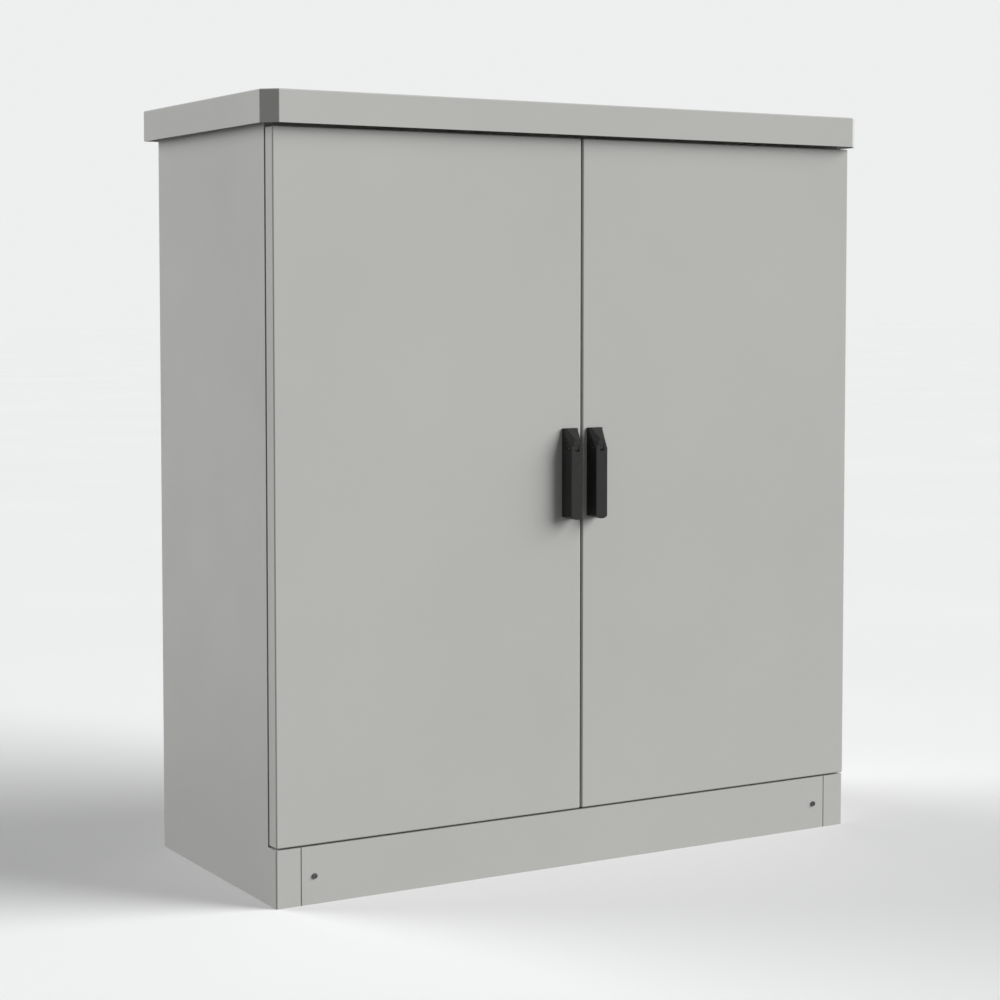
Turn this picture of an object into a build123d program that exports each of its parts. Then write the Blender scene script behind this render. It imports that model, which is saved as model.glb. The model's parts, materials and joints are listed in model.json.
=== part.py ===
from build123d import *
import os
from math import acos, atan2, cos, degrees, pi, radians, sin, sqrt, tan

# Two-door outdoor utility cabinet on a plinth, in millimetres.
# +Z is up, the doors face -Y, and the origin is on the ground at the centre of the footprint.
# Left-hand pieces are modelled, and right-hand ones are their mirror images.

# Body
body_width = 1200.0
body_depth = 500.0
plinth_height = 99.0
roof_underside = 1305.0
body_rise = 15.0
sheet = 2.0
fold_radius = 3.0
seam = 2.0
post_width = 45.0
tab_lap = 15.0
tab_reach = 45.0

# Common allowances
running_fit = 0.05
overrun = 5.0
touch = 0.01

# Roof canopy and its fixings
roof_height = 55.0
roof_side_overhang = 20.0
roof_back_overhang = 20.0
roof_front_overhang = 20.0
roof_chamfer = 24.0
roof_edge_radius = 2.5
standoff_radius = 9.0
standoff_inset_x = 150.0
standoff_inset_y = 100.0
roof_bolt_radius = 4.0
roof_bolt_engagement = 20.0
roof_bolt_tip_gap = 3.0

# Screws, nuts and their holes
screw_radius = 2.9
screw_head_radius = 4.75
screw_head_height = 2.6
screw_dome_radius = 1.0
screw_socket_radius = 2.2
screw_socket_depth = 1.4
screw_tip = 6.0
hole_gap = 0.3
hex_share = 1.8
flange_share = 2.3
hex_height = 6.0
flange_thickness = 1.6

# Doors and their frame
door_sheet = 2.0
door_proud = 1.5
door_depth = 27.5
door_gap = 6.0
door_bottom_gap = 3.0
door_top_gap = 4.0
meeting_gap = 4.0
door_edge_radius = 2.5
lip_inset = 49.0
lip_rise = 40.0
post_half_width = 10.0
gasket_width = 8.0
gasket_thickness = 9.2
seal_gap = 0.3
stiffener_width = 40.0
stiffener_depth = 15.0
stiffener_foot = 12.0
stiffener_sheet = 1.5
stiffener_end_gap = 12.0

# Concealed hinges
hinge_inset = 10.0
hinge_setback = 14.0
hinge_end_inset = 120.0
hinge_pin_radius = 3.0
pin_head_radius = 4.5
pin_head_height = 2.0
knuckle_radius = 5.5
knuckle_height = 14.0
hinge_side_gap = 0.3
arm_thickness = 5.0
arm_setback = 3.0
neck_reach = 19.0
neck_thickness = 4.0
foot_width = 17.0
foot_thickness = 4.0
foot_height = 44.0
foot_screw_spacing = 28.0
leaf_ear_radius = 6.0
leaf_ear_thickness = 8.0
leaf_plate_thickness = 3.0
leaf_plate_width = 23.0
leaf_side_gap = 0.5

# Handles
handle_from_centre = 26.0
handle_rise = 607.0
handle_length = 158.0
handle_width = 30.6
handle_height = 27.0
handle_inset = 3.6
handle_corner_radius = 2.0
handle_base_height = 6.0
handle_play = 0.4
head_length = 24.0
head_skirt_share = 0.55
head_edge = 2.0
facet_drop = 18.0
facet_foot_width = 8.0
facet_overrun_share = 1.3
cheek_start = 8.0
cheek_drop = 38.0
lever_gap = 0.5
lever_reach = 3.4
lever_foot_radius = 14.0
lever_edge_radius = 1.5
tongue_width = 8.0
tongue_setback = 1.2
tongue_end_gap = 0.6
slot_drop = 5.5
lever_pin_radius = 2.0
spindle_radius = 5.0
spindle_from_top = 17.0
spindle_stub = 8.0
spindle_stub_width = 7.0
handle_screw_rise = 24.0
handle_screw_grip = 4.0

# Rod latches
gear_module = 0.75
gear_teeth = 16
gear_backlash = 0.12
pressure_angle = 20.0
addendum = 0.65
dedendum = 0.85
flank_steps = 3
rod_thickness = 4.0
rod_backing = 2.65
rod_centre_lap = 0.5
rod_front_gap = 6.0
rack_below = 4.0
rack_above = 14.0
rack_run_out = 4.0
rod_tip_gap = 0.7
box_wall = 2.0
box_side_gap = 0.5
box_half_height = 24.0
box_depth = 16.0
rod_slide_gap = 0.3
guide_wall = 2.0
guide_height = 16.0
guide_from_tip = 24.0
keeper_width = 16.0
keeper_height = 8.0
keeper_riser = 4.0
keeper_front_gap = 3.5
keeper_depth = 20.0
keeper_riser_depth = 12.0

# Floor, plinth and base
gland_opening_width = 380.0
gland_opening_depth = 140.0
gland_opening_x = 270.0
gland_opening_y = 60.0
gland_lap = 20.0
gland_screw_inset = 10.0
plinth_screw_inset = 24.0
plinth_screw_rise = 48.0
plinth_return = 20.0
rear_screws_per_side = 4
rail_width = 60.0
rail_height = 60.0
rail_thickness = 4.0
rail_end_gap = 2.0
anchor_inset_x = 40.0
anchor_inset_y = 50.0
anchor_radius = 7.0

# Mounting plate
plate_margin_x = 70.0
plate_margin_bottom = 50.0
plate_margin_top = 60.0
plate_thickness = 3.0
plate_standoff = 30.0
stud_radius = 4.0
stud_collar_radius = 8.0
stud_inset = 40.0
stud_projection = 14.0

# Derived planes of the body
half_width = body_width / 2
front = -body_depth / 2
back = body_depth / 2
side_inner = half_width - sheet
body_top = roof_underside + body_rise
roof_top = roof_underside + roof_height
panel_half_width = half_width - post_width - seam
screw_column = panel_half_width - plinth_screw_inset
floor_underside = plinth_height - sheet
rear_panel_bottom = floor_underside + seam

# Derived planes of the doors
door_face = front - door_proud
door_inner = door_face + door_sheet
door_rear = door_face + door_depth
frame_face = door_rear + door_gap
frame_rear = frame_face + sheet
door_bottom = plinth_height + door_bottom_gap
door_top = roof_underside - door_top_gap
lip_face = door_inner + gasket_thickness + seal_gap
lip_half_width = half_width - lip_inset
lip_bottom = door_bottom + lip_rise
lip_top = door_top - lip_rise
rear_panel_inner = back - sheet

# Derived places of the hinges, handles and latches
hinge_x = -half_width + hinge_inset
hinge_y = door_face + hinge_setback
hinge_heights = [door_bottom + hinge_end_inset, (door_bottom + door_top) / 2, door_top - hinge_end_inset]
handle_x = -handle_from_centre
handle_middle = door_bottom + handle_rise
handle_top = handle_middle + handle_length / 2
head_bottom = handle_top - head_length
spindle_z = handle_top - spindle_from_top
base_face = door_face - handle_base_height
lever_back = base_face - handle_play
lever_front = door_face - handle_height
lever_radius = (lever_back - lever_front) / 2
lever_pin_y = (lever_back + lever_front) / 2
lever_pin_z = head_bottom - lever_gap - lever_radius
tongue_radius = lever_radius - tongue_setback
gear_radius = gear_module * gear_teeth / 2
rod_outer = gear_radius + dedendum + rod_backing
rod_width = rod_outer + rod_centre_lap
rod_front = door_inner + rod_front_gap
rod_rear = rod_front + rod_thickness
rod_centre = rod_outer - rod_width / 2
box_half_width = rod_outer + box_side_gap + box_wall
box_rear = door_inner + box_depth
keeper_face = lip_top - sheet - keeper_riser - keeper_height
keeper_face_low = lip_bottom + sheet + keeper_riser + keeper_height


def span(x0, x1, y0, y1, z0, z1):
    return Pos((x0 + x1) / 2, (y0 + y1) / 2, (z0 + z1) / 2) * Box(x1 - x0, y1 - y0, z1 - z0)


def round_x(y, z, x0, x1, radius):
    return Pos((x0 + x1) / 2, y, z) * Rot(0, 90, 0) * Cylinder(radius, x1 - x0)


def round_y(x, z, y0, y1, radius):
    return Pos(x, (y0 + y1) / 2, z) * Rot(90, 0, 0) * Cylinder(radius, y1 - y0)


def round_z(x, y, z0, z1, radius):
    return Pos(x, y, (z0 + z1) / 2) * Cylinder(radius, z1 - z0)


def front_plane(x, y, z):
    """A plane whose first axis is +X, whose second is +Z and whose normal looks out of the door."""
    return Plane(origin=(x, y, z), x_dir=(1, 0, 0), z_dir=(0, -1, 0))


def mirrored(shape):
    return mirror(shape, about=Plane.YZ)


def save(name, *pieces):
    solids = [solid for piece in pieces for solid in piece.solids()]
    shape = solids[0] if len(solids) == 1 else Compound(solids)
    export_step(shape, f"parts/{name}.step")


def save_pair(name, *pieces):
    save(f"{name}_left", *pieces)
    save(f"{name}_right", *[mirrored(piece) for piece in pieces])


# Fasteners, made about their own axis with the head on +Z


def button_screw(grip):
    head = Pos(0, 0, screw_head_height / 2) * Cylinder(screw_head_radius, screw_head_height)
    head = fillet(head.edges().group_by(Axis.Z)[-1], screw_dome_radius)
    shank = Pos(0, 0, -grip / 2) * Cylinder(screw_radius, grip)
    socket_floor = screw_head_height - screw_socket_depth
    socket = extrude(RegularPolygon(screw_socket_radius, 6), screw_socket_depth + overrun)
    return head + shank - Pos(0, 0, socket_floor) * socket


def flange_hex(thread_radius):
    flange = Pos(0, 0, flange_thickness / 2) * Cylinder(thread_radius * flange_share, flange_thickness)
    return flange + extrude(RegularPolygon(thread_radius * hex_share, 6), hex_height)


def place(shape, point, direction):
    return Plane(origin=point, z_dir=direction) * shape


# Body sheets


def post(y_outer, inward, z_top, tab_top):
    """A post folded off the side sheet, with the tab that a let-in panel rests on."""
    y_back = y_outer + inward * sheet
    y_tab = y_outer + inward * sheet * 2
    inner_edge = -half_width + post_width
    flange = span(-half_width, inner_edge, min(y_outer, y_back), max(y_outer, y_back), 0, z_top)
    tab_x = (inner_edge - tab_lap, inner_edge + tab_reach)
    return flange + span(*tab_x, min(y_back, y_tab), max(y_back, y_tab), 0, tab_top)


def rear_screw_heights():
    pitch = (roof_underside - rear_panel_bottom) / rear_screws_per_side
    return [rear_panel_bottom + pitch * (row + 0.5) for row in range(rear_screws_per_side)]


def side_panel():
    panel = span(-half_width, -side_inner, front, back, 0, plinth_height)
    panel += span(-half_width, -side_inner, frame_face, back, 0, body_top)
    panel += post(front, 1, plinth_height, plinth_height - sheet)
    panel += post(back, -1, body_top, body_top - sheet)
    corners = [
        edge
        for edge in panel.edges().filter_by(Axis.Z)
        if abs(edge.center().X + half_width) < touch
        and min(abs(edge.center().Y - front), abs(edge.center().Y - back)) < touch
    ]
    panel = fillet(corners, fold_radius)
    floor_slot = (rear_panel_inner - sheet, rear_panel_inner, floor_underside, plinth_height)
    panel -= span(-side_inner, 0, *floor_slot)
    hole = screw_radius + hole_gap
    panel -= round_y(-screw_column, plinth_screw_rise, front, back, hole)
    for height in rear_screw_heights():
        panel -= round_y(-screw_column, height, 0, back, hole)
    return panel


def let_in_panel(y0, y1, z0, z1, heights):
    panel = span(-panel_half_width, panel_half_width, y0, y1, z0, z1)
    for height in heights:
        for x in (-screw_column, screw_column):
            panel -= round_y(x, height, y0 - overrun, y1 + overrun, screw_radius + hole_gap)
    return panel


def plinth_panel(height):
    panel = let_in_panel(front, front + sheet, 0, height, [plinth_screw_rise])
    reach = half_width - post_width - tab_reach - seam
    return panel + span(-reach, reach, front, front + plinth_return, 0, sheet)


def plinth_front_panel():
    return plinth_panel(plinth_height)


def plinth_rear_panel():
    """Ends at the floor plate, whose edge backs the seam below the rear panel."""
    return mirror(plinth_panel(floor_underside), about=Plane.XZ)


def rear_panel():
    return let_in_panel(rear_panel_inner, back, rear_panel_bottom, body_top, rear_screw_heights())


def panel_screws(y, direction, heights):
    screw = button_screw(sheet * 2 + screw_tip)
    columns = (-screw_column, screw_column)
    return [place(screw, (x, y, height), (0, direction, 0)) for x in columns for height in heights]


def door_frame():
    inner_half_width = lip_half_width - sheet
    inner_bottom = lip_bottom + sheet
    inner_top = lip_top - sheet
    frame = span(-side_inner, side_inner, frame_face, frame_rear, plinth_height - sheet, body_top - sheet)
    frame += span(-lip_half_width, lip_half_width, lip_face, frame_rear, lip_bottom, lip_top)
    cut = (lip_face - overrun, frame_rear + overrun)
    frame -= span(-inner_half_width, inner_half_width, *cut, inner_bottom, inner_top)
    notch = post_half_width - sheet
    frame -= span(-notch, notch, lip_face - overrun, frame_face, lip_bottom, lip_top)
    sill = (plinth_height - sheet, plinth_height)
    frame += span(-side_inner, side_inner, front + sheet, frame_rear, *sill)
    for x, z in hinge_screw_points():
        for side in (-1, 1):
            frame -= round_y(side * x, z, frame_face - overrun, frame_rear + overrun, screw_radius + hole_gap)
    return frame


def frame_member(x1, z0, z1):
    """What the door frame holds from its left end to x1, between two heights."""
    return door_frame() & span(-half_width, x1, front, frame_rear + overrun, z0, z1)


def door_head():
    return frame_member(half_width, lip_top - sheet, body_top)


def door_sill():
    return frame_member(half_width, 0, lip_bottom + sheet)


def door_jamb():
    return frame_member(0, lip_bottom + sheet, lip_top - sheet)


def centre_post():
    bottom = lip_bottom + sheet
    top = lip_top - sheet
    channel = span(-post_half_width, post_half_width, lip_face, frame_rear, bottom, top)
    hollow = post_half_width - sheet
    return channel - span(-hollow, hollow, lip_face - overrun, frame_face, bottom - overrun, top + overrun)


def standoff_points():
    x = half_width - standoff_inset_x
    y = body_depth / 2 - standoff_inset_y
    return [(sx * x, sy * y) for sx in (-1, 1) for sy in (-1, 1)]


def top_plate():
    plate = span(-side_inner, side_inner, frame_face, rear_panel_inner, body_top - sheet, body_top)
    for x, y in standoff_points():
        plate -= round_z(x, y, body_top - overrun, body_top + overrun, roof_bolt_radius + hole_gap)
    return plate


def roof_prism(inset, z0, z1):
    x = half_width + roof_side_overhang - inset
    y_front = front - roof_front_overhang + inset
    y_back = back + roof_back_overhang - inset
    cut = roof_chamfer - inset * (2 - sqrt(2))
    right = [(x - cut, y_front), (x, y_front + cut), (x, y_back)]
    left = [(-px, py) for px, py in reversed(right)]
    outline = make_face(Polyline(*right, *left, close=True))
    return extrude(Pos(0, 0, z0) * outline, z1 - z0)


def roof_canopy():
    shell = roof_prism(0, roof_underside, roof_top)
    rim = shell.faces().sort_by(Axis.Z)[-1].edges()
    shell = fillet(rim + shell.edges().filter_by(Axis.Z), roof_edge_radius)
    return shell - roof_prism(sheet, roof_underside - overrun, roof_top - sheet)


def roof_standoffs():
    depth = body_top + roof_bolt_engagement + roof_bolt_tip_gap
    posts = []
    for x, y in standoff_points():
        body = round_z(x, y, body_top, roof_top - sheet, standoff_radius)
        posts.append(body - round_z(x, y, body_top - overrun, depth, roof_bolt_radius + running_fit))
    return posts


def roof_bolts():
    grip = sheet + roof_bolt_engagement
    bolt = flange_hex(roof_bolt_radius) + Pos(0, 0, -grip / 2) * Cylinder(roof_bolt_radius, grip)
    return [place(bolt, (x, y, body_top - sheet), (0, 0, -1)) for x, y in standoff_points()]


# Floor, base and mounting plate


def gland_screw_points(x_centre):
    x = gland_opening_width / 2 + gland_lap - gland_screw_inset
    y = gland_opening_depth / 2 + gland_lap - gland_screw_inset
    return [(x_centre + sx * x, gland_opening_y + sy * y) for sx in (-1, 1) for sy in (-1, 1)]


def gland_centres():
    return (-gland_opening_x, gland_opening_x)


def centred_plate(x, y, width, depth, z0, z1):
    return span(x - width / 2, x + width / 2, y - depth / 2, y + depth / 2, z0, z1)


def drilled(plate, points, z0, z1, radius):
    for x, y in points:
        plate -= round_z(x, y, z0 - overrun, z1 + overrun, radius)
    return plate


def floor_plate():
    plate = span(-side_inner, side_inner, frame_rear, rear_panel_inner, floor_underside, plinth_height)
    for x in gland_centres():
        size = (gland_opening_width, gland_opening_depth)
        plate -= centred_plate(x, gland_opening_y, *size, floor_underside - overrun, plinth_height + overrun)
        plate = drilled(plate, gland_screw_points(x), floor_underside, plinth_height, screw_radius + hole_gap)
    return plate


def gland_plates():
    plates = []
    z1 = plinth_height + sheet
    for x in gland_centres():
        size = (gland_opening_width + gland_lap * 2, gland_opening_depth + gland_lap * 2)
        plate = centred_plate(x, gland_opening_y, *size, plinth_height, z1)
        plates.append(drilled(plate, gland_screw_points(x), plinth_height, z1, screw_radius + hole_gap))
    return plates


def gland_plate_screws():
    screw = button_screw(sheet * 2 + screw_tip)
    points = [point for x in gland_centres() for point in gland_screw_points(x)]
    return [place(screw, (x, y, plinth_height + sheet), (0, 0, 1)) for x, y in points]


def base_rail():
    y_end = body_depth / 2 - sheet * 2 - rail_end_gap
    rail = span(-side_inner, -side_inner + rail_width, -y_end, y_end, 0, rail_thickness)
    rail += span(-side_inner, -side_inner + rail_thickness, -y_end, y_end, 0, rail_height)
    y_anchor = body_depth / 2 - anchor_inset_y
    points = [(-half_width + anchor_inset_x, y) for y in (-y_anchor, y_anchor)]
    return drilled(rail, points, 0, rail_thickness, anchor_radius)


def stud_points():
    x = half_width - plate_margin_x - stud_inset
    bottom = plinth_height + plate_margin_bottom + stud_inset
    top = door_top - plate_margin_top - stud_inset
    return [(sx * x, z) for sx in (-1, 1) for z in (bottom, (bottom + top) / 2, top)]


def plate_planes():
    plate_back = rear_panel_inner - plate_standoff
    return plate_back - plate_thickness, plate_back


def mounting_plate():
    y0, y1 = plate_planes()
    x = half_width - plate_margin_x
    plate = span(-x, x, y0, y1, plinth_height + plate_margin_bottom, door_top - plate_margin_top)
    for px, pz in stud_points():
        plate -= round_y(px, pz, y0 - overrun, y1 + overrun, stud_radius + hole_gap)
    return plate


def plate_studs():
    y0, y1 = plate_planes()
    studs = []
    for x, z in stud_points():
        thread = round_y(x, z, y0 - stud_projection, rear_panel_inner, stud_radius)
        studs.append(thread + round_y(x, z, y1, rear_panel_inner, stud_collar_radius))
    return studs


def plate_nuts():
    y0 = plate_planes()[0]
    nut = flange_hex(stud_radius) - Cylinder(stud_radius + running_fit, (hex_height + overrun) * 2)
    return [place(nut, (x, y0, z), (0, -1, 0)) for x, z in stud_points()]


# Doors


def door():
    outer = span(-half_width, -meeting_gap / 2, door_face, door_rear, door_bottom, door_top)
    folds = outer.faces().sort_by(Axis.Y)[0].edges() + outer.edges().filter_by(Axis.Y)
    pan = fillet(folds, door_edge_radius)
    inner_x = (-half_width + door_sheet, -meeting_gap / 2 - door_sheet)
    pan -= span(*inner_x, door_inner, door_rear + overrun, door_bottom + door_sheet, door_top - door_sheet)
    pan -= round_y(handle_x, spindle_z, door_face - overrun, door_inner + overrun, spindle_radius + hole_gap)
    screw = handle_screw_point()
    return pan - round_y(*screw, door_face - overrun, door_inner + overrun, screw_radius + hole_gap)


def door_gasket():
    left = -lip_half_width + sheet / 2
    right = -post_half_width + sheet / 2
    bottom = lip_bottom + sheet / 2
    top = lip_top - sheet / 2
    half = gasket_width / 2
    y_rear = door_inner + gasket_thickness
    ring = span(left - half, right + half, door_inner, y_rear, bottom - half, top + half)
    cut = (door_inner - overrun, y_rear + overrun)
    return ring - span(left + half, right - half, *cut, bottom + half, top - half)


def door_stiffener():
    x = -half_width / 2
    half = stiffener_width / 2
    bottom = lip_bottom + gasket_width + stiffener_end_gap
    top = lip_top - gasket_width - stiffener_end_gap
    crown = door_inner + stiffener_depth
    hat = span(x - half, x + half, door_inner, crown, bottom, top)
    inner = half - stiffener_sheet
    cut = (bottom - overrun, top + overrun)
    hat -= span(x - inner, x + inner, door_inner - overrun, crown - stiffener_sheet, *cut)
    for side in (-1, 1):
        ends = sorted((x + side * inner, x + side * (half + stiffener_foot)))
        hat += span(*ends, door_inner, door_inner + stiffener_sheet, bottom, top)
    return hat


# Concealed hinges


def hinge_screw_points():
    x = hinge_x + neck_reach + neck_thickness + (foot_width - neck_thickness) / 2
    half = foot_screw_spacing / 2
    return [(x, z + side * half) for z in hinge_heights for side in (-1, 1)]


def hinge_arm(z):
    z_range = (z - knuckle_height / 2, z + knuckle_height / 2)
    neck_x = hinge_x + neck_reach
    arm_y = (hinge_y - arm_setback - arm_thickness, hinge_y - arm_setback)
    arm = round_z(hinge_x, hinge_y, *z_range, knuckle_radius)
    arm += span(hinge_x, neck_x + neck_thickness, *arm_y, *z_range)
    arm += span(neck_x, neck_x + neck_thickness, arm_y[0], frame_face, *z_range)
    foot_z = (z - foot_height / 2, z + foot_height / 2)
    arm += span(neck_x, neck_x + foot_width, frame_face - foot_thickness, frame_face, *foot_z)
    bore = hinge_pin_radius + running_fit
    arm -= round_z(hinge_x, hinge_y, z_range[0] - overrun, z_range[1] + overrun, bore)
    for x, screw_z in hinge_screw_points():
        arm -= round_y(x, screw_z, frame_face - foot_thickness * 2, frame_face, screw_radius + hole_gap)
    return arm


def hinge_arm_screws():
    screw = button_screw(foot_thickness + sheet + screw_tip)
    y = frame_face - foot_thickness
    return [place(screw, (x, y, z), (0, -1, 0)) for x, z in hinge_screw_points()]


def ear_outer(z):
    return z + knuckle_height / 2 + hinge_side_gap + leaf_ear_thickness


def hinge_leaf(z):
    top = ear_outer(z)
    bottom = 2 * z - top
    plate_x = -half_width + door_sheet + leaf_side_gap
    plate_y = (door_inner, door_inner + leaf_plate_thickness)
    leaf = span(plate_x, plate_x + leaf_plate_width, *plate_y, bottom, top)
    for z0, z1 in ((bottom, bottom + leaf_ear_thickness), (top - leaf_ear_thickness, top)):
        leaf += span(hinge_x - leaf_ear_radius, hinge_x + leaf_ear_radius, door_inner, hinge_y, z0, z1)
        leaf += round_z(hinge_x, hinge_y, z0, z1, leaf_ear_radius)
    return leaf - round_z(hinge_x, hinge_y, bottom - overrun, top + overrun, hinge_pin_radius + running_fit)


def hinge_pin(z):
    top = ear_outer(z)
    shank = round_z(hinge_x, hinge_y, 2 * z - top, top, hinge_pin_radius)
    return shank + round_z(hinge_x, hinge_y, top, top + pin_head_height, pin_head_radius)


# Handles


def handle_bar(reach, foot_radius):
    """A bar with sloping sides and soft front edges, which may reach below the base."""
    half = handle_width / 2
    front_half = half - handle_inset
    corners = [(-front_half, lever_front), (front_half, lever_front), (half, door_face), (-half, door_face)]
    section = make_face(Polyline(*corners, close=True))
    section = fillet(section.vertices().group_by(Axis.Y)[0], lever_edge_radius)
    length = handle_length + reach
    bar = extrude(Pos(handle_x, 0, handle_top - length) * section, length, dir=(0, 0, 1))
    outline = Pos(0, -reach / 2) * Rectangle(handle_width, length)
    outline = fillet(outline.vertices().group_by(Axis.Y)[-1], handle_corner_radius)
    outline = fillet(outline.vertices().group_by(Axis.Y)[0], foot_radius)
    return bar & extrude(front_plane(handle_x, door_face, handle_middle) * outline, handle_height)


def handle_slab(y0, y1, z0, z1):
    return span(handle_x - handle_width, handle_x + handle_width, y0, y1, z0, z1)


def handle_screw_point():
    return handle_x, handle_middle - handle_length / 2 + handle_screw_rise


def handle_base():
    z0 = handle_top - handle_length - overrun
    bar = handle_bar(0, handle_corner_radius)
    base = bar & handle_slab(base_face, door_face + overrun, z0, handle_top + overrun)
    bore = spindle_radius + running_fit
    base -= round_y(handle_x, spindle_z, base_face - overrun, door_face + overrun, bore)
    depth = door_face - handle_screw_grip
    return base - round_y(*handle_screw_point(), depth, door_face + overrun, screw_radius + running_fit)


def handle_screw():
    x, z = handle_screw_point()
    screw = button_screw(door_sheet + handle_screw_grip - running_fit)
    return place(screw, (x, door_inner, z), (0, 1, 0))


def facet_wedge():
    """What the sloping top facet takes off the head."""
    start = (lever_back - head_edge, handle_top)
    run = (lever_front - start[0]) * facet_overrun_share
    drop = facet_drop * facet_overrun_share
    end = (start[0] + run, start[1] - drop)
    points = [start, end, (end[0], handle_top + overrun), (start[0], handle_top + overrun)]
    section = make_face(Polyline(*points, close=True))
    placed = Plane(origin=(handle_x, 0, 0), x_dir=(0, 1, 0), z_dir=(1, 0, 0)) * section
    return extrude(placed, handle_width, both=True)


def cheek_cut():
    """What the cheeks take off both sides of the head and the lever, down to the lever's front."""
    edge_y = lever_back - head_edge
    edge_inset = handle_inset * (door_face - edge_y) / handle_height
    edge = Vector(handle_width / 2 - edge_inset, edge_y, handle_top - cheek_start)
    facet_foot = Vector(facet_foot_width / 2, lever_front, handle_top - facet_drop)
    run_out = Vector(handle_width / 2 - handle_inset, lever_front, handle_top - cheek_drop)
    outward = (run_out - facet_foot).cross(edge - facet_foot)
    plane = Plane(origin=facet_foot, x_dir=run_out - facet_foot, z_dir=outward)
    side = extrude(plane * Rectangle(handle_length, handle_length), handle_width)
    return [Pos(handle_x, 0, 0) * side, Pos(handle_x, 0, 0) * mirrored(side)]


def tongue():
    half = tongue_width / 2
    x_range = (handle_x - half, handle_x + half)
    y_range = (lever_pin_y - tongue_radius, lever_pin_y + tongue_radius)
    bar = span(*x_range, *y_range, lever_pin_z, head_bottom + overrun)
    return bar + round_x(lever_pin_y, lever_pin_z, *x_range, tongue_radius)


def stub(width, y0, y1):
    half = width / 2
    return span(handle_x - half, handle_x + half, y0, y1, spindle_z - half, spindle_z + half)


def handle_head():
    bar = handle_bar(0, handle_corner_radius)
    pin_x = (handle_x - handle_width, handle_x + handle_width)
    skirt = lever_pin_z + lever_radius * head_skirt_share
    head = bar & handle_slab(lever_front - overrun, lever_back, skirt, handle_top + overrun)
    head -= round_x(lever_pin_y, lever_pin_z, *pin_x, lever_radius + lever_gap)
    head = head - facet_wedge() - cheek_cut() + tongue()
    head -= round_x(lever_pin_y, lever_pin_z, *pin_x, lever_pin_radius + running_fit)
    pocket = lever_back - spindle_stub - running_fit
    return head - stub(spindle_stub_width + running_fit * 2, pocket, lever_back + overrun)


def handle_lever():
    bar = handle_bar(lever_reach, lever_foot_radius)
    z0 = handle_top - handle_length - lever_reach - overrun
    pin_x = (handle_x - handle_width, handle_x + handle_width)
    blank = handle_slab(lever_front - overrun, lever_back, z0, lever_pin_z)
    blank += round_x(lever_pin_y, lever_pin_z, *pin_x, lever_radius)
    lever = bar & blank
    lever -= cheek_cut()
    slot_x = (handle_x - tongue_width / 2 - handle_play, handle_x + tongue_width / 2 + handle_play)
    lever -= span(*slot_x, lever_front - overrun, lever_back + overrun, lever_pin_z - slot_drop, head_bottom)
    lever -= round_x(lever_pin_y, lever_pin_z, *slot_x, tongue_radius + tongue_end_gap)
    return lever - round_x(lever_pin_y, lever_pin_z, *pin_x, lever_pin_radius + running_fit)


def lever_pin():
    half = handle_width / 2 - handle_inset
    return round_x(lever_pin_y, lever_pin_z, handle_x - half, handle_x + half, lever_pin_radius)


# Rod latches


def involute(angle):
    return tan(angle) - angle


def pinion():
    """A spur gear with a gap facing +X and another facing -X."""
    pitch_angle = 2 * pi / gear_teeth
    pressure = radians(pressure_angle)
    base_radius = gear_radius * cos(pressure)
    tip_radius = gear_radius + addendum
    thickness = pi * gear_module / 2 - gear_backlash
    half_at_base = thickness / (2 * gear_radius) + involute(pressure)
    flank = [(gear_radius - dedendum, half_at_base)]
    for step in range(flank_steps + 1):
        radius = base_radius + (tip_radius - base_radius) * step / flank_steps
        flank.append((radius, half_at_base - involute(acos(min(1, base_radius / radius)))))
    outline = []
    for tooth in range(gear_teeth):
        middle = pitch_angle * (tooth + 0.5)
        outline += [(radius, middle - half) for radius, half in flank]
        outline += [(radius, middle + half) for radius, half in reversed(flank)]
    points = [(radius * cos(angle), radius * sin(angle)) for radius, angle in outline]
    face = make_face(Polyline(*points, close=True))
    return extrude(front_plane(handle_x, rod_rear, spindle_z) * face, rod_thickness)


def latch_spindle():
    shaft = round_y(handle_x, spindle_z, lever_back, box_rear, spindle_radius)
    return shaft + pinion() + stub(spindle_stub_width, lever_back - spindle_stub, lever_back)


def rack_teeth():
    """Teeth of the upper rod's rack, about the spindle, pointing at it."""
    pitch = pi * gear_module
    slope = tan(radians(pressure_angle))
    half = (pitch / 2 - gear_backlash) / 2
    root = gear_radius + dedendum
    tip = gear_radius - addendum
    teeth = []
    first = -int(rack_below / pitch)
    last = int(rack_above / pitch)
    for index in range(first, last + 1):
        z = index * pitch
        foot = half + dedendum * slope
        crest = half - addendum * slope
        points = [(root, z - foot), (tip, z - crest), (tip, z + crest), (root, z + foot)]
        teeth.append(make_face(Polyline(*points, close=True)))
    return teeth


def upper_rod_blank(length):
    """The upper rod about the spindle: a backed rack below and the full strip above."""
    root = gear_radius + dedendum
    strip_start = rack_above + rack_run_out
    points = [
        (root, -rack_below - gear_module),
        (rod_outer, -rack_below - gear_module),
        (rod_outer, length),
        (-rod_centre_lap, length),
        (-rod_centre_lap, strip_start),
        (root, strip_start),
    ]
    plane = front_plane(handle_x, rod_rear, spindle_z)
    rod = extrude(plane * make_face(Polyline(*points, close=True)), rod_thickness)
    for tooth in rack_teeth():
        rod += extrude(plane * tooth, rod_thickness)
    return rod


def rod_upper():
    return upper_rod_blank(keeper_face - rod_tip_gap - spindle_z)


def rod_lower():
    rod = upper_rod_blank(spindle_z - keeper_face_low - rod_tip_gap)
    return rod.rotate(Axis((handle_x, 0, spindle_z), (0, 1, 0)), 180)


def rod_columns():
    """Centre lines of the upper and the lower rod."""
    return handle_x + rod_centre, handle_x - rod_centre


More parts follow.
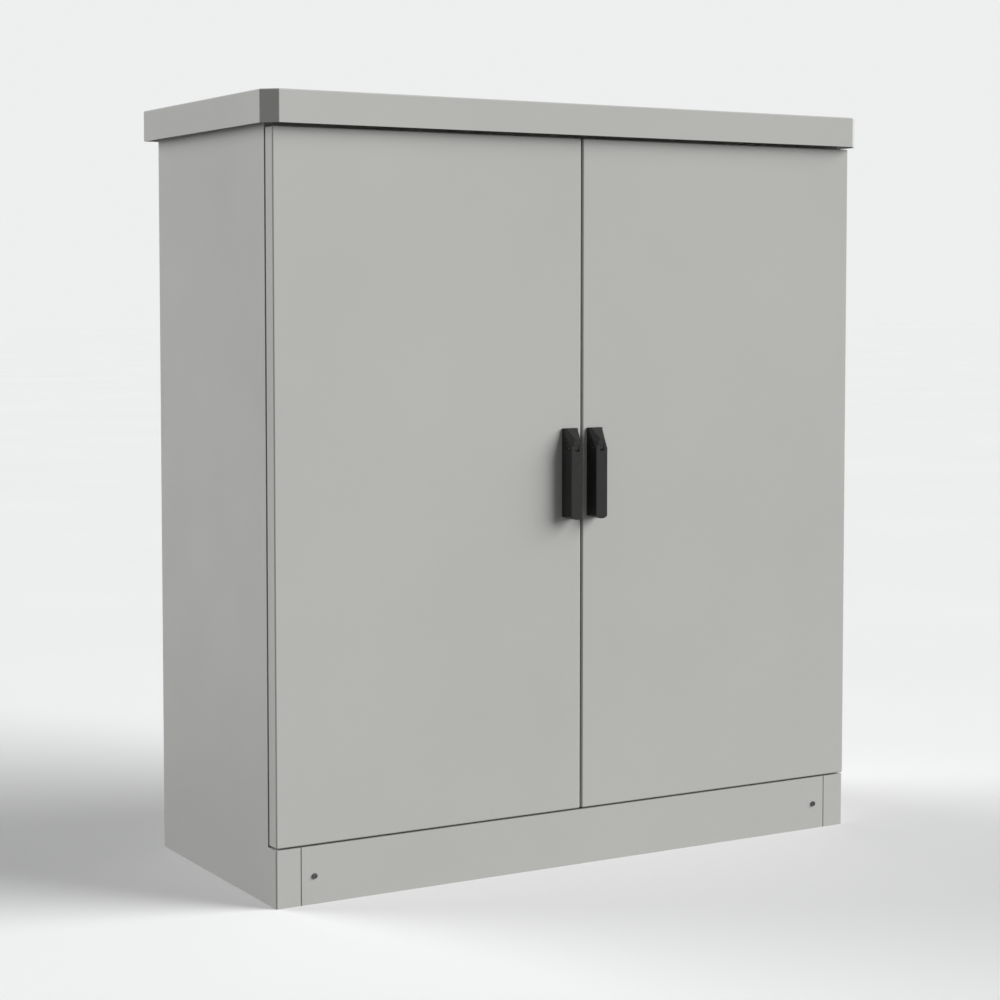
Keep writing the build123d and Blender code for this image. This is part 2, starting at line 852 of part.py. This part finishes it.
def rod_passage(x, z0, z1):
    half = rod_width / 2 + rod_slide_gap
    return span(x - half, x + half, rod_front - rod_slide_gap, rod_rear + rod_slide_gap, z0, z1)


def lock_box():
    z0 = spindle_z - box_half_height
    z1 = spindle_z + box_half_height
    inner = box_half_width - box_wall
    x_range = (handle_x - box_half_width, handle_x + box_half_width)
    box = span(*x_range, door_inner, box_rear, z0, z1)
    hollow_z = (z0 + box_wall, z1 - box_wall)
    box -= span(handle_x - inner, handle_x + inner, door_inner - overrun, box_rear - box_wall, *hollow_z)
    upper, lower = rod_columns()
    box -= rod_passage(upper, spindle_z, z1 + overrun)
    box -= rod_passage(lower, z0 - overrun, spindle_z)
    return box - round_y(handle_x, spindle_z, door_inner, box_rear + overrun, spindle_radius + running_fit)


def rod_guide(x, z):
    half = rod_width / 2 + rod_slide_gap + guide_wall
    z_range = (z - guide_height / 2, z + guide_height / 2)
    block = span(x - half, x + half, door_inner, rod_rear + rod_slide_gap + guide_wall, *z_range)
    return block - rod_passage(x, z_range[0] - overrun, z_range[1] + overrun)


def rod_guides():
    upper, lower = rod_columns()
    top = rod_guide(upper, keeper_face - guide_from_tip)
    bottom = rod_guide(lower, keeper_face_low + guide_from_tip)
    return [top, bottom]


def rod_keeper(x, z_face, outward):
    """A slotted block on the sealing lip that the rod's tip is aimed at."""
    y_face = door_inner + keeper_front_gap
    y_end = y_face + keeper_depth
    z_block = sorted((z_face, z_face + outward * keeper_height))
    z_riser = sorted((z_face, z_face + outward * (keeper_height + keeper_riser)))
    x_range = (x - keeper_width / 2, x + keeper_width / 2)
    keeper = span(*x_range, y_face, y_end, *z_block)
    keeper += span(*x_range, y_end - keeper_riser_depth, y_end, *z_riser)
    return keeper - rod_passage(x, z_block[0] - overrun, z_block[1] + overrun)


def rod_keepers():
    upper, lower = rod_columns()
    left = [rod_keeper(upper, keeper_face, 1), rod_keeper(lower, keeper_face_low, -1)]
    return left + [mirrored(keeper) for keeper in left]


os.makedirs("parts", exist_ok=True)

# The fixed body
save_pair("side_panel", side_panel())
save("rear_panel", rear_panel())
save("rear_panel_screws", *panel_screws(back, 1, rear_screw_heights()))
save("door_head", door_head())
save("door_sill", door_sill())
save_pair("door_jamb", door_jamb())
save("centre_post", centre_post())
save("top_plate", top_plate())
save("roof_canopy", roof_canopy())
save("roof_standoffs", *roof_standoffs())
save("roof_bolts", *roof_bolts())
save("floor_plate", floor_plate())
save("gland_plates", *gland_plates())
save("gland_plate_screws", *gland_plate_screws())
save_pair("base_rail", base_rail())
save("plinth_front_panel", plinth_front_panel())
save("plinth_rear_panel", plinth_rear_panel())
save("plinth_front_screws", *panel_screws(front, -1, [plinth_screw_rise]))
save("plinth_rear_screws", *panel_screws(back, 1, [plinth_screw_rise]))
save_pair("hinge_arms", *[hinge_arm(z) for z in hinge_heights])
save_pair("hinge_arm_screws", *hinge_arm_screws())
save("rod_keepers", *rod_keepers())
save("mounting_plate", mounting_plate())
save("plate_studs", *plate_studs())
save("plate_nuts", *plate_nuts())

# The doors and what they carry
save_pair("door", door())
save_pair("door_gasket", door_gasket())
save_pair("door_stiffener", door_stiffener())
save_pair("hinge_leaves", *[hinge_leaf(z) for z in hinge_heights])
save_pair("hinge_pins", *[hinge_pin(z) for z in hinge_heights])
save_pair("handle_base", handle_base())
save_pair("handle_screw", handle_screw())
save_pair("lock_box", lock_box())
save_pair("rod_guides", *rod_guides())
save_pair("latch_spindle", latch_spindle())
save_pair("handle_head", handle_head())
save_pair("handle_lever", handle_lever())
save_pair("lever_pin", lever_pin())
save_pair("rod_upper", rod_upper())
save_pair("rod_lower", rod_lower())
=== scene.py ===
"""Looks of the two-door outdoor utility cabinet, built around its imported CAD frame."""

import json
import math

import bpy
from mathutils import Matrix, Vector

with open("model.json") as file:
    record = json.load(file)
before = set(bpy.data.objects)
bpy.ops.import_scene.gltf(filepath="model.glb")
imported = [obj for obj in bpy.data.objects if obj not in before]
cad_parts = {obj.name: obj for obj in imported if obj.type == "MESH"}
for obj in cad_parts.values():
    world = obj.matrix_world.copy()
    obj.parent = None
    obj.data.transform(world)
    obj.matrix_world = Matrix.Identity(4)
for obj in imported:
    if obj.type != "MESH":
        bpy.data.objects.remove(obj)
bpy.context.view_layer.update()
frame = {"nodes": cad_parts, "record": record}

# Camera, fitted to the edges of the cabinet in a 1000 by 1000 picture
SENSOR_WIDTH = 36.0
PICTURE_SIZE = 1000.0
FOCAL_PIXELS = 2218.7
PRINCIPAL_ROW = 425.0
CAMERA_PLACE = (-2.1202, -3.5875, 1.0201)
CAMERA_YAW = 0.5293
CAMERA_PITCH = -0.0575

# Studio
FLOOR_HALF_SIZE = 60.0
FLOOR_COLOUR = (0.828, 0.832, 0.834)
FLOOR_NOISE = dict(scale=0.8, detail=4.0)
FLOOR_TONE_SHARES = (0.985, 1.01)
FLOOR_BOUNCE_SHARE = 0.24
FLOOR_ROUGHNESS = 0.9
FLOOR_SPECULAR = 0.1
BACKGROUND_COLOUR = (0.855, 0.86, 0.862)
AMBIENT_STRENGTH = 0.15
SUN_WIDTH_DEG = 44.0
KEY_DIRECTION = (0.83, -0.57, 0.44)
KEY_STRENGTH = 4.75
FILL_DIRECTION = (-0.57, 0.66, 0.32)
FILL_STRENGTH = 2.7

# Finishes: noise scales per metre, bump distances in metres, tones as shares of a colour
PAINT_COLOUR = (0.468, 0.470, 0.452)
PAINT_CLOUD_NOISE = dict(scale=2.2, detail=3.0)
PAINT_CLOUD_SHARES = (0.975, 1.02)
PAINT_GLOSS_NOISE = dict(scale=7.0, detail=4.0)
PAINT_ROUGHNESS = (0.36, 0.46)
PAINT_WAVE_NOISE = dict(scale=1.6, detail=1.0)
PAINT_WAVE_BUMP = dict(strength=0.25, distance=0.004)
PAINT_PEEL_NOISE = dict(scale=420.0)
PAINT_PEEL_BUMP = dict(strength=0.10, distance=0.0006)
PAINT_SPECULAR = 0.45

PLASTIC_COLOUR = (0.015, 0.015, 0.0145)
PLASTIC_PATCH_NOISE = dict(scale=60.0, detail=3.0)
PLASTIC_PATCH_SHARES = (0.8, 1.25)
PLASTIC_ROUGHNESS = (0.44, 0.56)
PLASTIC_GRAIN_NOISE = dict(scale=1400.0)
PLASTIC_GRAIN_BUMP = dict(strength=0.18, distance=0.0003)
PLASTIC_SPECULAR = 0.4

ZINC_COLOUR = (0.60, 0.61, 0.62)
ZINC_SPANGLE_SCALE = 95.0
ZINC_SPANGLE_SHARES = (0.91, 1.05)
ZINC_SPANGLE_ENDS = (0.1, 0.9)
ZINC_GRAIN_NOISE = dict(scale=30.0, detail=4.0, roughness=0.6, stretch=(1.0, 1.0, 12.0))
ZINC_GRAIN_BUMP = dict(strength=0.05, distance=0.0005)
ZINC_ROUGHNESS = (0.3, 0.48)
ZINC_METALLIC = 1.0

SCREW_COLOUR = (0.12, 0.12, 0.12)
SCREW_WEAR_NOISE = dict(scale=400.0, detail=4.0)
SCREW_WEAR_SHARES = (0.7, 1.3)
SCREW_ROUGHNESS = (0.3, 0.5)
SCREW_METALLIC = 0.5

RUBBER_COLOUR = (0.022, 0.022, 0.022)
RUBBER_PORE_NOISE = dict(scale=900.0, detail=3.0)
RUBBER_PORE_SHARES = (0.6, 1.3)
RUBBER_PORE_BUMP = dict(strength=0.5, distance=0.0008)
RUBBER_ROUGHNESS = 0.85

WHITE = (1.0, 1.0, 1.0)
OPAQUE = 1.0


# Node helpers


def new_material(name):
    material = bpy.data.materials.new(name)
    material.use_nodes = True
    nodes = material.node_tree.nodes
    return material, nodes, material.node_tree.links, nodes["Principled BSDF"]


def object_noise(nodes, links, scale, detail=2.0, roughness=0.5, stretch=None):
    """A noise texture in the object's own metres, so that it moves with the body."""
    place = nodes.new("ShaderNodeTexCoord")
    noise = nodes.new("ShaderNodeTexNoise")
    noise.inputs["Scale"].default_value = scale
    noise.inputs["Detail"].default_value = detail
    noise.inputs["Roughness"].default_value = roughness
    if stretch is None:
        links.new(place.outputs["Object"], noise.inputs["Vector"])
    else:
        mapping = nodes.new("ShaderNodeMapping")
        mapping.inputs["Scale"].default_value = stretch
        links.new(place.outputs["Object"], mapping.inputs["Vector"])
        links.new(mapping.outputs["Vector"], noise.inputs["Vector"])
    return noise.outputs["Fac"]


def tinted(colour, share):
    return tuple(channel * share for channel in colour)


def tones(nodes, links, value, shares, colour=WHITE, ends=(0.3, 0.7)):
    """Two shares of a colour, or two greys, blended by a value between the two ends."""
    ramp = nodes.new("ShaderNodeValToRGB")
    for element, place, share in zip(ramp.color_ramp.elements, ends, shares):
        element.position = place
        element.color = (*tinted(colour, share), OPAQUE)
    links.new(value, ramp.inputs["Fac"])
    return ramp.outputs["Color"]


def bump(nodes, links, height, strength, distance, below=None):
    """A bumped normal, on top of the one below if there is one."""
    node = nodes.new("ShaderNodeBump")
    node.inputs["Strength"].default_value = strength
    node.inputs["Distance"].default_value = distance
    links.new(height, node.inputs["Height"])
    if below is not None:
        links.new(below, node.inputs["Normal"])
    return node.outputs["Normal"]


def seen_rays(nodes, links):
    """1 for what the camera sees itself, in a reflection or through a clear piece.

    It is 0 for light that a surface passes on.
    """
    path = nodes.new("ShaderNodeLightPath")
    mask = path.outputs["Is Camera Ray"]
    for kind in ("Is Glossy Ray", "Is Transmission Ray"):
        either = nodes.new("ShaderNodeMath")
        either.operation = "MAXIMUM"
        links.new(mask, either.inputs[0])
        links.new(path.outputs[kind], either.inputs[1])
        mask = either.outputs["Value"]
    return mask


# Materials


def paint_material(name):
    """Satin powder coat: orange peel, a faint cloudiness and slightly wavy sheet."""
    material, nodes, links, shader = new_material(name)
    clouds = object_noise(nodes, links, **PAINT_CLOUD_NOISE)
    cloudy = tones(nodes, links, clouds, PAINT_CLOUD_SHARES, PAINT_COLOUR)
    links.new(cloudy, shader.inputs["Base Color"])
    gloss = object_noise(nodes, links, **PAINT_GLOSS_NOISE)
    links.new(tones(nodes, links, gloss, PAINT_ROUGHNESS), shader.inputs["Roughness"])
    waves = object_noise(nodes, links, **PAINT_WAVE_NOISE)
    wavy = bump(nodes, links, waves, **PAINT_WAVE_BUMP)
    peel = object_noise(nodes, links, **PAINT_PEEL_NOISE)
    peeled = bump(nodes, links, peel, below=wavy, **PAINT_PEEL_BUMP)
    links.new(peeled, shader.inputs["Normal"])
    shader.inputs["Specular IOR Level"].default_value = PAINT_SPECULAR
    return material


def plastic_material(name):
    """Black moulded plastic with a fine spark-eroded grain."""
    material, nodes, links, shader = new_material(name)
    patches = object_noise(nodes, links, **PLASTIC_PATCH_NOISE)
    patchy = tones(nodes, links, patches, PLASTIC_PATCH_SHARES, PLASTIC_COLOUR)
    links.new(patchy, shader.inputs["Base Color"])
    links.new(tones(nodes, links, patches, PLASTIC_ROUGHNESS), shader.inputs["Roughness"])
    grain = object_noise(nodes, links, **PLASTIC_GRAIN_NOISE)
    links.new(bump(nodes, links, grain, **PLASTIC_GRAIN_BUMP), shader.inputs["Normal"])
    shader.inputs["Specular IOR Level"].default_value = PLASTIC_SPECULAR
    return material


def zinc_material(name):
    """Zinc-plated steel with soft spangles and a rolled grain."""
    material, nodes, links, shader = new_material(name)
    place = nodes.new("ShaderNodeTexCoord")
    spangles = nodes.new("ShaderNodeTexVoronoi")
    spangles.inputs["Scale"].default_value = ZINC_SPANGLE_SCALE
    links.new(place.outputs["Object"], spangles.inputs["Vector"])
    cells = spangles.outputs["Color"]
    spangled = tones(nodes, links, cells, ZINC_SPANGLE_SHARES, ZINC_COLOUR, ZINC_SPANGLE_ENDS)
    links.new(spangled, shader.inputs["Base Color"])
    grain = object_noise(nodes, links, **ZINC_GRAIN_NOISE)
    links.new(tones(nodes, links, grain, ZINC_ROUGHNESS), shader.inputs["Roughness"])
    links.new(bump(nodes, links, grain, **ZINC_GRAIN_BUMP), shader.inputs["Normal"])
    shader.inputs["Metallic"].default_value = ZINC_METALLIC
    return material


def dark_screw_material(name):
    """Blackened steel with a slightly worn sheen."""
    material, nodes, links, shader = new_material(name)
    wear = object_noise(nodes, links, **SCREW_WEAR_NOISE)
    worn = tones(nodes, links, wear, SCREW_WEAR_SHARES, SCREW_COLOUR)
    links.new(worn, shader.inputs["Base Color"])
    links.new(tones(nodes, links, wear, SCREW_ROUGHNESS), shader.inputs["Roughness"])
    shader.inputs["Metallic"].default_value = SCREW_METALLIC
    return material


def rubber_material(name):
    """Foamed sealing rubber with open pores."""
    material, nodes, links, shader = new_material(name)
    pores = object_noise(nodes, links, **RUBBER_PORE_NOISE)
    porous = tones(nodes, links, pores, RUBBER_PORE_SHARES, RUBBER_COLOUR)
    links.new(porous, shader.inputs["Base Color"])
    links.new(bump(nodes, links, pores, **RUBBER_PORE_BUMP), shader.inputs["Normal"])
    shader.inputs["Roughness"].default_value = RUBBER_ROUGHNESS
    return material


def floor_material():
    """Matt pale floor, much darker where it throws light back at the object."""
    material, nodes, links, shader = new_material("studio_floor")
    tone = object_noise(nodes, links, **FLOOR_NOISE)
    pale = tones(nodes, links, tone, FLOOR_TONE_SHARES, FLOOR_COLOUR)
    choice = nodes.new("ShaderNodeMixRGB")
    choice.inputs["Color1"].default_value = (*tinted(FLOOR_COLOUR, FLOOR_BOUNCE_SHARE), OPAQUE)
    links.new(seen_rays(nodes, links), choice.inputs["Fac"])
    links.new(pale, choice.inputs["Color2"])
    links.new(choice.outputs["Color"], shader.inputs["Base Color"])
    shader.inputs["Roughness"].default_value = FLOOR_ROUGHNESS
    shader.inputs["Specular IOR Level"].default_value = FLOOR_SPECULAR
    return material


FINISHES = {
    "cabinet_paint": paint_material,
    "black_plastic": plastic_material,
    "zinc_steel": zinc_material,
    "dark_screw": dark_screw_material,
    "gasket_rubber": rubber_material,
}


def dress_nodes():
    """Every CAD node gets the finish of its slot in the record."""
    finishes = {slot: build(slot) for slot, build in FINISHES.items()}
    slots = {row["node"]: row["material_slot"] for row in frame["record"]["subparts"]}
    for name, node in frame["nodes"].items():
        node.data.materials.clear()
        node.data.materials.append(finishes[slots[name]])


# Studio


def make_world():
    """Low ambient light on the object, and a pale background for camera and reflections."""
    world = bpy.data.worlds.new("studio")
    bpy.context.scene.world = world
    world.use_nodes = True
    nodes, links = world.node_tree.nodes, world.node_tree.links
    ambient = nodes["Background"]
    ambient.inputs["Color"].default_value = (*BACKGROUND_COLOUR, OPAQUE)
    ambient.inputs["Strength"].default_value = AMBIENT_STRENGTH
    seen = nodes.new("ShaderNodeBackground")
    seen.inputs["Color"].default_value = (*BACKGROUND_COLOUR, OPAQUE)
    choice = nodes.new("ShaderNodeMixShader")
    links.new(seen_rays(nodes, links), choice.inputs["Fac"])
    links.new(ambient.outputs["Background"], choice.inputs[1])
    links.new(seen.outputs["Background"], choice.inputs[2])
    links.new(choice.outputs["Shader"], nodes["World Output"].inputs["Surface"])


def make_floor():
    mesh = bpy.data.meshes.new("studio_floor")
    half = FLOOR_HALF_SIZE
    corners = [(-half, -half, 0.0), (half, -half, 0.0), (half, half, 0.0), (-half, half, 0.0)]
    mesh.from_pydata(corners, [], [(0, 1, 2, 3)])
    floor = bpy.data.objects.new("studio_floor", mesh)
    bpy.context.scene.collection.objects.link(floor)
    mesh.materials.append(floor_material())


def make_camera():
    """The photo's camera, with part of its lens shift taken up by a slight downward tilt."""
    lens = bpy.data.cameras.new("photo_camera")
    lens.sensor_width = SENSOR_WIDTH
    lens.lens = FOCAL_PIXELS / PICTURE_SIZE * SENSOR_WIDTH
    lens.shift_y = -(PICTURE_SIZE / 2 - PRINCIPAL_ROW) / PICTURE_SIZE
    camera = bpy.data.objects.new("photo_camera", lens)
    bpy.context.scene.collection.objects.link(camera)
    camera.location = CAMERA_PLACE
    camera.rotation_euler = (math.pi / 2 + CAMERA_PITCH, 0.0, -CAMERA_YAW)
    bpy.context.scene.camera = camera


def soft_sun(name, direction, strength):
    """A broad, far light in the given direction from the object, left out of reflections."""
    light = bpy.data.lights.new(name, "SUN")
    light.energy = strength
    light.angle = math.radians(SUN_WIDTH_DEG)
    holder = bpy.data.objects.new(name, light)
    bpy.context.scene.collection.objects.link(holder)
    holder.rotation_euler = Vector(direction).to_track_quat("Z", "Y").to_euler()
    holder.visible_glossy = False


def make_lights():
    """A key from the right front and a fill from the left back, with the cut roof corner in shade."""
    soft_sun("key", KEY_DIRECTION, KEY_STRENGTH)
    soft_sun("fill", FILL_DIRECTION, FILL_STRENGTH)


dress_nodes()
make_world()
make_floor()
make_camera()
make_lights()
bpy.context.scene.view_settings.view_transform = "Standard"
